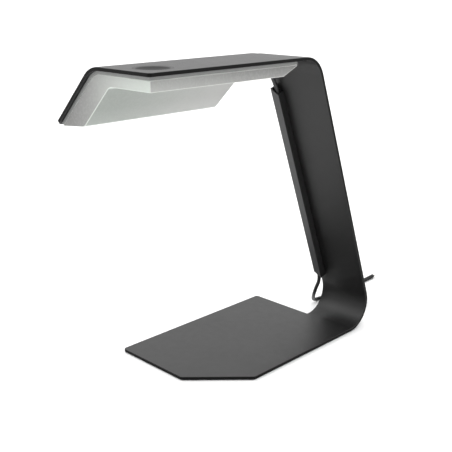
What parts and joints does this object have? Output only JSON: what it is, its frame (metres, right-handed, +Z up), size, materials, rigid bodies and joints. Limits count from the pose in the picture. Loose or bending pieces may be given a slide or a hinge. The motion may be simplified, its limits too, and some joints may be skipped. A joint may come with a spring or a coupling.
{
  "type": "desk lamp",
  "caption": "LED desk lamp bent from one black metal sheet, with a leaning column, a head with a folded flap over a frosted tray, a push button and a low-voltage lead.",
  "frame": {"origin": "on the table, at the centre of the lamp's own footprint box, without its lead", "axes": "+X towards the side the column stands on, -Y the way the head reaches, +Z up"},
  "size_m": [0.175, 0.554, 0.381],
  "materials": {
    "powder_coat": "matt black powder coat",
    "foot_rubber": "matt",
    "frosted_diffuser": "frosted translucent",
    "frame_grey": "fine moulded grain",
    "zinc_steel": "zinc plated",
    "soft_rubber": "matt",
    "button_black": "satin moulded",
    "switch_amber": "moulded",
    "component_black": "moulded",
    "board_green": "solder mask",
    "terminal_green": "moulded",
    "bare_aluminium": "mill finish",
    "board_white": "white solder mask",
    "led_phosphor": "phosphor gel",
    "wire_jacket": "extruded",
    "reflector_white": "matt white",
    "duct_black": "satin extruded",
    "lead_jacket": "satin extruded",
    "tie_fabric": "woven hook and loop",
    "plug_black": "moulded grain",
    "nickel": "nickel plated"
  },
  "bodies": {
    "lamp": {"board_posts": "zinc_steel", "board_screws": "zinc_steel", "button_collar": "frame_grey", "coil_tie": "tie_fabric", "diffuser": "frosted_diffuser", "diffuser_frame": "frame_grey", "driver_board": "board_green", "driver_chip": "component_black", "duct_base": "duct_black", "duct_cover": "duct_black", "duct_gland": "soft_rubber", "duct_screws": "zinc_steel", "foot_pads": "foot_rubber", "frame_nuts": "zinc_steel", "frame_studs": "zinc_steel", "heat_spreader": "bare_aluminium", "input_capacitor": "component_black", "lead_coil": "lead_jacket", "lead_grommet": "soft_rubber", "lead_tail": "lead_jacket", "led_board_1": "board_white", "led_board_2": "board_white", "led_screws": "zinc_steel", "led_wires": "wire_jacket", "leds_1": "led_phosphor", "leds_2": "led_phosphor", "plug_barrel": "nickel", "plug_body": "plug_black", "plug_strain_relief": "lead_jacket", "power_inductor": "component_black", "power_lead": "lead_jacket", "reflector": "reflector_white", "riser_lead": "lead_jacket", "sheet_body": "powder_coat", "switch_body": "component_black", "terminal_block": "terminal_green"},
    "button": {"button_cap": "button_black", "switch_plunger": "switch_amber"}
  },
  "joints": [
    {"name": "button_press", "type": "slide", "parent": "lamp", "child": "button", "axis": [0, 0, -1], "range_m": [0, 0.0012], "stiffness_N_per_m": 1500, "springref_m": -0.0003}
  ]
}
